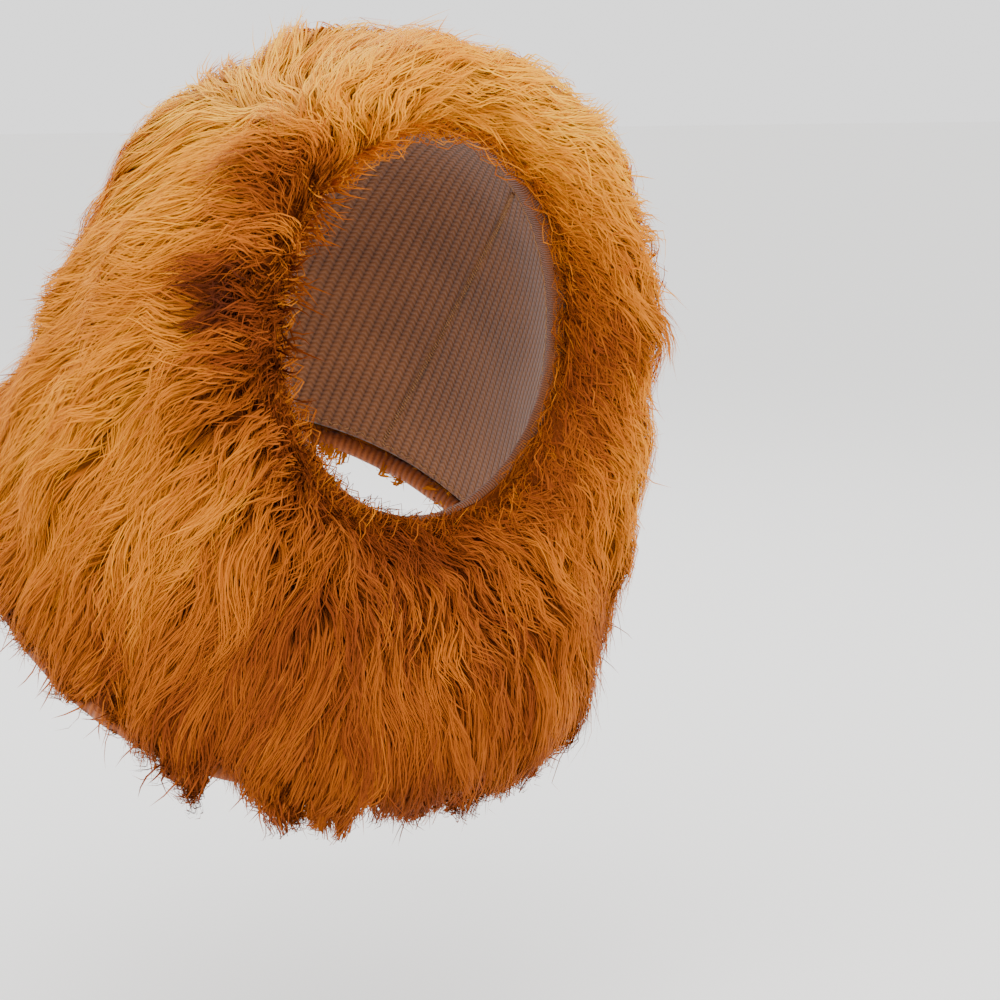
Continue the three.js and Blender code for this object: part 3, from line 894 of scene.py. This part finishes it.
def makeFur():
    roots, normals = spacedRoots(guideRun["spacing"], 5)
    distances = np.array([nearestOn(panelTrees[name], roots)[2] for name in furNodes])
    owners = np.argmin(distances, axis=0)
    draw = np.random.default_rng(17)
    lengths = np.array([fur[furNodes[owner]]["length"] for owner in owners])
    lengths = lengths * draw.uniform(0.75, 1.15, len(roots)) * mm
    # past the form's edge fur hangs on under the chest and the nape, and stops at the side hems
    onChest = smoothStep(-20, -70, roots[:, 1] / mm)
    onNape = smoothStep(120, 165, roots[:, 1] / mm)
    freeLengths = (5 + 11 * onChest + 9 * onNape) * draw.uniform(0.6, 1.2, len(roots)) * mm
    paths, stands = followFur(roots, normals, lengths, freeLengths)
    cover = coverOf(roots, normals)
    hoodRoom = nearestOn(hoodTree, paths.reshape(-1, 3))[2].reshape(paths.shape[:2])
    print("guides", len(roots))
    for index, name in enumerate(furNodes):
        mine = owners == index
        under = makeUnderfur(name)
        parts = [
            growFur(name, paths[mine], stands[mine], cover[mine], hoodRoom[mine], 100 + index),
            under,
            growUndercoat(name, under, 200 + index),
        ]
        if name == "face_ruff":
            parts.append(growFaceCurls(41))
        hair = pieceFromParts(name + "_hair", parts)
        hair.data.materials.append(furFibre)
        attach(hair, "root")
        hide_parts(name)
        print(name, "guides", int(mine.sum()), "triangles", len(trianglesOf(hair.data)),
              "of them undercoat", len(parts[2]["quads"]) * 2 + len(parts[2]["triangles"]))


furFibre = makeFurFibre()
makeFur()


# the knitted hood, its elastic binding and its rolled hem

hood = {
    "base": "#8A5632",
    "deep": "#3E2010",
    # stitch columns round the hood, about 4 mm each over the head, and rows of 3.4 mm: both are
    # about twice as coarse as such a knit is, so that they show
    "wales": 170,
    "course": 3.4,
    "depth": 0.9,        # mm, of the weave
    "weaveShadeShare": 0.7,   # of the colour: painted shade in the valleys between the stitches
    "clouds": 45.5,      # mm, uneven dye
    "cloudDetail": 4,
    "cloudShare": 0.45,
    "grain": 0.714,      # mm, fluff on the yarn
    "grainDetail": 3,
    "grainShare": 0.14,
    "grainHeight": 0.25,
    "sheetSize": (0.93, 0.34),  # metres, round and from face to neck, cut flat
    "sheetArea": 0.16,
}
binding = {
    "base": "#8E5026",
    "deep": "#502812",
    "pitch": 1.5,        # mm, the elastic's cords
    "puckers": 32,
    "puckerDepth": 0.35,
    "fuller": -0.175,    # mm, the crests of the puckers stay at the solid's surface
    "stray": 0.5,        # how far the puckers wander, and how often round the band
    "strays": 5,
    "slant": 7.33,       # mm of width for each radian that a pucker slants
    "stitchLine": -6.5,  # mm behind the middle of the face edge
    "stitches": 200,
}
hem = {
    "base": "#A65A2C",
    "deep": "#6C3416",
    "pitch": 2.4,
    "puckers": 32,
    "puckerDepth": 0.45,
    "fuller": 0.625,
    "stray": 0.8,
    "strays": 7,
    "slant": 3,
    "stitchLine": -10.5,
    "stitches": 300,
}
bands = {                # what the binding and the hem share
    "radius": 100,       # mm
    "depth": 0.35,
    # painted shade between the cords, as a share of the colour
    "weaveShadeShare": 0.18,
    "clouds": 25,
    "cloudDetail": 3,
    "cloudShare": 0.5,
    "grain": 1.11,
    "grainDetail": 4,
    "grainShare": 0.5,
    "grainHeight": 1.2,
}
spineUp = unit(np.cross(spine, left))
spineUp = spineUp * np.sign(spineUp[2])


# Stretch knit, dyed in the yarn: matt, with columns of stitches and painted shade in the valleys
# between them
def makeKnit():
    material, shader = newMaterial("stretchRibKnit")
    place = addNode(material, "ShaderNodeTexCoord", {}).outputs["Object"]
    fromFace = {0: place, 1: faceMiddle}
    offset = addNode(material, "ShaderNodeVectorMath", fromFace, operation="SUBTRACT").outputs[0]
    steps = {}
    for step, way in (("toLeft", left), ("toTop", spineUp), ("along", spine)):
        inputs = {0: offset, 1: way}
        product = addNode(material, "ShaderNodeVectorMath", inputs, operation="DOT_PRODUCT")
        steps[step] = product.outputs["Value"]
    # each step is named, with its operation and what it works on
    for step, operation, first, second in (
        ("turn", "ARCTAN2", "toLeft", "toTop"),
        ("waleCount", "MULTIPLY", "turn", hood["wales"] / (2 * math.pi)),
        ("acrossWale", "FRACT", "waleCount", 0.0),
        ("twice", "MULTIPLY", "acrossWale", 2.0),
        ("signed", "SUBTRACT", "twice", 1.0),
        ("fromWale", "ABSOLUTE", "signed", 0.0),
        ("rows", "MULTIPLY", "along", 1 / (hood["course"] * mm)),
        ("slant", "MULTIPLY", "fromWale", 0.55),
        ("slanted", "SUBTRACT", "rows", "slant"),
        ("angle", "MULTIPLY", "slanted", 2 * math.pi),
        ("loops", "SINE", "angle", 0.0),
        ("lowLoops", "MULTIPLY", "loops", 0.17),
        ("valley", "POWER", "fromWale", 2.2),
        ("ridge", "SUBTRACT", 1.0, "valley"),
        ("lowRidge", "MULTIPLY", "ridge", 0.65),
        ("weave", "ADD", "lowRidge", "lowLoops"),
    ):
        inputs = {0: steps.get(first, first), 1: steps.get(second, second)}
        steps[step] = addNode(material, "ShaderNodeMath", inputs, operation=operation).outputs[0]
    stops = [(0.12, hood["deep"]), (0.95, hood["base"])]
    finishCloth(material, shader, hood, steps["weave"], stops)
    return material


# Woven elastic and turned cloth: fine cords across the band, with painted shade between the cords
# and a mottled grain
def makeRibbedBand(name, band, middle, outward):
    material, shader = newMaterial(name)
    place = addNode(material, "ShaderNodeTexCoord", {}).outputs["Object"]
    fromMiddle = {0: place, 1: middle}
    offset = addNode(material, "ShaderNodeVectorMath", fromMiddle, operation="SUBTRACT").outputs[0]
    steps = {}
    for step, way in (("toLeft", left), ("toTop", unit(np.cross(outward, left)))):
        inputs = {0: offset, 1: way}
        product = addNode(material, "ShaderNodeVectorMath", inputs, operation="DOT_PRODUCT")
        steps[step] = product.outputs["Value"]
    for step, operation, first, second in (
        ("turn", "ARCTAN2", "toLeft", "toTop"),
        ("angle", "MULTIPLY", "turn", round(2 * math.pi * bands["radius"] / band["pitch"])),
        ("weave", "SINE", "angle", 0.0),
    ):
        inputs = {0: steps.get(first, first), 1: steps.get(second, second)}
        steps[step] = addNode(material, "ShaderNodeMath", inputs, operation=operation).outputs[0]
    stops = [(0.2, band["deep"]), (0.8, band["base"])]
    finishCloth(material, shader, bands, steps["weave"], stops)
    return material


# what the cloths share: the weave's painted shade, clouds and grain make the colour, and weave and
# grain the relief
def finishCloth(material, shader, cloth, weave, stops):
    place = addNode(material, "ShaderNodeTexCoord", {}).outputs["Object"]
    steps = {"weave": weave}
    for step, detail in (("clouds", "cloudDetail"), ("grain", "grainDetail")):
        inputs = {"Vector": place, "Scale": 1 / (cloth[step] * mm), "Detail": cloth[detail]}
        steps[step] = addNode(material, "ShaderNodeTexNoise", inputs).outputs[0]
    for step, operation, first, second in (
        # painted shade in the valleys of the weave
        ("paintedWeaveShade", "MULTIPLY", "weave", cloth["weaveShadeShare"]),
        ("cloudShade", "MULTIPLY", "clouds", cloth["cloudShare"]),
        ("grainShade", "MULTIPLY", "grain", cloth["grainShare"]),
        ("grainRelief", "MULTIPLY", "grain", cloth["grainHeight"]),
        ("broadShade", "ADD", "paintedWeaveShade", "cloudShade"),
        ("shade", "ADD", "broadShade", "grainShade"),
        ("relief", "ADD", "weave", "grainRelief"),
    ):
        inputs = {0: steps.get(first, first), 1: steps.get(second, second)}
        steps[step] = addNode(material, "ShaderNodeMath", inputs, operation=operation).outputs[0]
    bump = addNode(material, "ShaderNodeBump", {
        "Height": steps["relief"], "Strength": 0.9, "Distance": cloth["depth"] * mm,
    })
    colour = addNode(material, "ShaderNodeValToRGB", {"Fac": steps["shade"]}, stops=stops)
    setNode(material, shader, {
        "Base Color": colour.outputs["Color"],
        "Normal": bump.outputs["Normal"],
        "Roughness": 0.9,
        "Specular IOR Level": 0.2,
        "Sheen Weight": 0.22,
        "Sheen Roughness": 0.5,
    })


def finePiece(nodeName, levels):
    piece = copyOfNode(nodeName, nodeName + "_cloth")
    activate(piece)
    bpy.ops.object.mode_set(mode="EDIT")
    bpy.ops.mesh.select_all(action="SELECT")
    limit = math.radians(60)
    bpy.ops.mesh.tris_convert_to_quads(face_threshold=limit, shape_threshold=limit)
    bpy.ops.object.mode_set(mode="OBJECT")
    applyModifier(piece, "SUBSURF", levels=levels, render_levels=levels)
    activate(piece)
    bpy.ops.object.shade_smooth()
    return piece


def normalsOf(piece):
    normals = np.empty(len(piece.data.vertices) * 3)
    piece.data.vertices.foreach_get("normal", normals)
    return normals.reshape(-1, 3)


def turnAbout(points, middle, outward):
    upward = unit(np.cross(outward, left))
    offset = points - middle
    return np.arctan2(offset @ left, offset @ upward)


def placePiece(piece, material, node):
    piece.data.materials.clear()
    piece.data.materials.append(material)
    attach(piece, "root")
    if node:
        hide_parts(node)


def makePuckeredBand(nodeName, band, middle, outward, material):
    piece = finePiece(nodeName, 2)
    points, normals = coordinatesOf(piece), normalsOf(piece)
    turn = turnAbout(points, middle, outward)
    depth = (points - middle) @ outward / mm
    stray = band["stray"] * np.sin(turn * band["strays"])
    ripple = np.cos(turn * band["puckers"] + stray + depth / band["slant"])
    fuller = band["fuller"] + ripple * band["puckerDepth"] / 2
    setCoordinates(piece, points + normals * (fuller * mm)[:, None])
    placePiece(piece, material, nodeName)
    return piece


def makeHoodCloth():
    cloth = finePiece("backing_hood", 2)
    placePiece(cloth, makeKnit(), "backing_hood")
    elastic = makeRibbedBand("foldedElasticBinding", binding, faceMiddle, faceOut)
    band = makePuckeredBand("face_binding", binding, faceMiddle, faceOut, elastic)
    turned = makeRibbedBand("rolledClothHem", hem, neckMiddle, neckOut)
    roll = makePuckeredBand("neck_hem", hem, neckMiddle, neckOut, turned)
    area = sum(polygon.area for polygon in cloth.data.polygons) / 2
    print("hood cloth area", round(area, 4))
    return cloth, band, roll


# sewing thread: one stitch, modelled once and copied along each seam

thread = {
    "colour": "#C08A50",
    "deep": "#5A2E14",
    "length": 3.6,       # mm, of a stitch
    "width": 0.9,
    "height": 0.7,
    "proud": 0.15,       # mm, how far its middle stands off the cloth
    "zigzag": 0.75,      # of its length that a stitch leans to one side
    "ply": 0.556,        # mm, the twist of the thread
}


def modelStitch():
    deselectAll()
    bpy.ops.mesh.primitive_uv_sphere_add(segments=5, ring_count=4, radius=0.5)
    stitch = bpy.context.view_layer.objects.active
    bpy.ops.object.mode_set(mode="EDIT")
    bpy.ops.mesh.select_all(action="SELECT")
    bpy.ops.transform.rotate(value=math.pi / 2, orient_axis="Y", center_override=(0, 0, 0))
    size = (thread["length"] * mm, thread["width"] * mm, thread["height"] * mm)
    bpy.ops.transform.resize(value=size, center_override=(0, 0, 0))
    bpy.ops.object.mode_set(mode="OBJECT")
    return stitch


def sewStitches(name, places, normals, directions, material):
    stitch = modelStitch()
    shape = coordinatesOf(stitch)
    copies = []
    for place, normal, direction in zip(places, normals, directions):
        forward = unit(direction - normal * (direction @ normal))
        aside = np.cross(normal, forward)
        turned = shape @ np.array([forward, aside, normal])
        mesh = stitch.data.copy()
        mesh.vertices.foreach_set("co", (turned + place + normal * thread["proud"] * mm).ravel())
        copies.append(bpy.data.objects.new(name, mesh))
        bpy.context.scene.collection.objects.link(copies[-1])
    bpy.data.objects.remove(stitch)
    deselectAll()
    for piece in copies:
        piece.select_set(True)
    bpy.context.view_layer.objects.active = copies[0]
    bpy.ops.object.join()
    row = bpy.context.view_layer.objects.active
    row.name = name
    activate(row)
    bpy.ops.object.shade_smooth()
    placePiece(row, material, None)


def castOn(tree, origins, directions):
    found = [tree.ray_cast(Vector(o), Vector(d), 0.4) for o, d in zip(origins, directions)]
    hit = np.array([item[0] is not None for item in found])
    places = np.array([item[0] for item in found if item[0] is not None])
    normals = np.array([item[1] for item in found if item[0] is not None])
    return hit, places, normals


def ringOfStitches(name, tree, middle, outward, offset, count, material):
    upward = unit(np.cross(outward, left))
    turn = np.arange(count) / count * 2 * math.pi
    rays = np.outer(np.sin(turn), left) + np.outer(np.cos(turn), upward)
    origins = np.repeat((middle + outward * offset * mm)[None], count, axis=0)
    hit, places, normals = castOn(tree, origins, rays)
    rays = rays[hit]
    inward = np.where(np.sum(normals * rays, axis=1, keepdims=True) > 0, -normals, normals)
    tangent = np.cross(rays, outward)
    zigzag = np.where(np.arange(len(places)) % 2, thread["zigzag"], -thread["zigzag"])[:, None]
    sewStitches(name, places, inward, unit(tangent + outward * zigzag), material)


# seams of the fur panels, seen from inside as overlocked ridges

seams = {
    "turns": (-130, -48, 48, 130),  # degrees round the spine from the top
    "start": -0.5,                  # shares of the spine, cut off by the edges
    "end": 1.5,
    "points": 90,
    "edge": 13,                     # mm from an edge at which a seam ends
    "ridge": 1.5,                   # mm
    "stitchEvery": 2,
}


def makeLiningSeams(clothTree, knit, threadMaterial):
    stitchPlaces, stitchNormals, stitchWays = [], [], []
    ridges = []
    for turn in seams["turns"]:
        ray = math.cos(math.radians(turn)) * spineUp + math.sin(math.radians(turn)) * left
        shares = np.linspace(seams["start"], seams["end"], seams["points"])[:, None]
        origins = faceMiddle * (1 - shares) + neckMiddle * shares
        rays = np.repeat(ray[None], len(origins), axis=0)
        _, places, normals = castOn(clothTree, origins, rays)
        inside = (places - faceMiddle) @ faceOut < -seams["edge"] * mm
        inside &= (places - neckMiddle) @ neckOut < -seams["edge"] * mm
        places, normals = places[inside], normals[inside]
        inward = np.where(np.sum(normals * ray, axis=1, keepdims=True) > 0, -normals, normals)
        curveData = bpy.data.curves.new("liningSeam", "CURVE")
        curveData.dimensions = "3D"
        curveData.bevel_depth = seams["ridge"] * mm
        curveData.bevel_resolution = 1
        curveData.use_fill_caps = True
        line = curveData.splines.new("POLY")
        line.points.add(len(places) - 1)
        sunk = places - inward * 0.3 * seams["ridge"] * mm
        line.points.foreach_set("co", np.hstack([sunk, np.ones((len(sunk), 1))]).ravel())
        ridge = bpy.data.objects.new("liningSeam", curveData)
        bpy.context.scene.collection.objects.link(ridge)
        activate(ridge)
        bpy.ops.object.convert(target="MESH")
        ridges.append(bpy.context.view_layer.objects.active)
        finer = np.linspace(0, len(places) - 1, len(places) * seams["stitchEvery"])
        below = np.clip(finer.astype(int), 0, len(places) - 2)
        part = (finer - below)[:, None]
        middles = places[below] * (1 - part) + places[below + 1] * part
        ways = unit(places[below + 1] - places[below])
        facing = unit(inward[below] * (1 - part) + inward[below + 1] * part)
        slant = np.cross(facing, ways) + ways * 0.35
        stitchPlaces.append(middles + facing * seams["ridge"] * 0.62 * mm)
        stitchNormals.append(facing)
        stitchWays.append(unit(slant))
    deselectAll()
    for ridge in ridges:
        ridge.select_set(True)
    bpy.context.view_layer.objects.active = ridges[0]
    bpy.ops.object.join()
    seamPiece = bpy.context.view_layer.objects.active
    seamPiece.name = "lining_seams"
    activate(seamPiece)
    bpy.ops.object.shade_smooth()
    placePiece(seamPiece, knit, None)
    sewStitches("lining_stitches", np.concatenate(stitchPlaces), np.concatenate(stitchNormals),
                np.concatenate(stitchWays), threadMaterial)


# Spun polyester sewing thread, a little glossier than the cloth
def makeThread():
    material, shader = newMaterial("spunPolyesterThread")
    place = addNode(material, "ShaderNodeTexCoord", {}).outputs["Object"]
    ply = addNode(material, "ShaderNodeTexNoise", {
        "Vector": place, "Scale": 1 / (thread["ply"] * mm), "Detail": 2.0,
    }).outputs["Fac"]
    colour = addNode(material, "ShaderNodeValToRGB", {"Fac": ply}, stops=[
        (0.3, thread["deep"]), (0.7, thread["colour"]),
    ])
    bump = addNode(material, "ShaderNodeBump", {
        "Height": ply, "Strength": 0.5, "Distance": 0.2 * mm,
    })
    setNode(material, shader, {
        "Base Color": colour.outputs["Color"],
        "Normal": bump.outputs["Normal"],
        "Roughness": 0.6,
        "Specular IOR Level": 0.4,
    })
    return material


def treeOfPiece(piece):
    return treeOf(coordinatesOf(piece), trianglesOf(piece.data))


cloth, band, roll = makeHoodCloth()
sewingThread = makeThread()
ringOfStitches("binding_stitches", treeOfPiece(band), faceMiddle, faceOut, binding["stitchLine"],
               binding["stitches"], sewingThread)
ringOfStitches("hem_stitches", treeOfPiece(cloth), neckMiddle, neckOut, hem["stitchLine"],
               hem["stitches"], sewingThread)
makeLiningSeams(treeOfPiece(cloth), cloth.data.materials[0], sewingThread)
print("hood, binding and hem made")


# floor and light

stage = {
    "floorSize": 40,        # metres
    "floorHeight": -0.48,   # metres, well under the lowest lock
    "floorColour": "#F7F6F4",
    "sky": "#FFFFFF",
    "skyStrength": 1.7,
    "aim": (-0.01, 0.03, -0.15),  # where the lights point
}
lights = {
    "keyLight": {"place": (-1.3, -1.5, 1.8), "size": 2.2, "power": 60},
    "fillLight": {"place": (1.6, -1.2, 0.7), "size": 1.6, "power": 16},
    "backLight": {"place": (0.6, 1.8, 1.4), "size": 1.2, "power": 20},
}


def makeStage():
    deselectAll()
    place = (0, 0, stage["floorHeight"])
    bpy.ops.mesh.primitive_plane_add(size=stage["floorSize"], location=place)
    floor = bpy.context.view_layer.objects.active
    floor.name = "paleFloor"
    material, shader = newMaterial("mattPaleFloor")
    setNode(material, shader, {"Base Color": linearColour(stage["floorColour"]), "Roughness": 0.9})
    floor.data.materials.append(material)
    world = bpy.data.worlds.new("paleStudio")
    bpy.context.scene.world = world
    world.use_nodes = True
    background = world.node_tree.nodes["Background"]
    background.inputs["Color"].default_value = linearColour(stage["sky"])
    background.inputs["Strength"].default_value = stage["skyStrength"]


def addLight(name, lamp):
    lightData = bpy.data.lights.new(name, "AREA")
    lightData.shape = "SQUARE"
    lightData.size = lamp["size"]
    lightData.energy = lamp["power"]
    light = bpy.data.objects.new(name, lightData)
    bpy.context.scene.collection.objects.link(light)
    light.location = lamp["place"]
    toward = Vector(stage["aim"]) - Vector(lamp["place"])
    light.rotation_euler = toward.to_track_quat("-Z", "Y").to_euler()


makeStage()
for name, lamp in lights.items():
    addLight(name, lamp)
print("stage lit")

seen = [
    piece for piece in bpy.data.objects
    if piece.type == "MESH" and not piece.hide_render
]
print("triangles in all", sum(len(trianglesOf(piece.data)) for piece in seen))
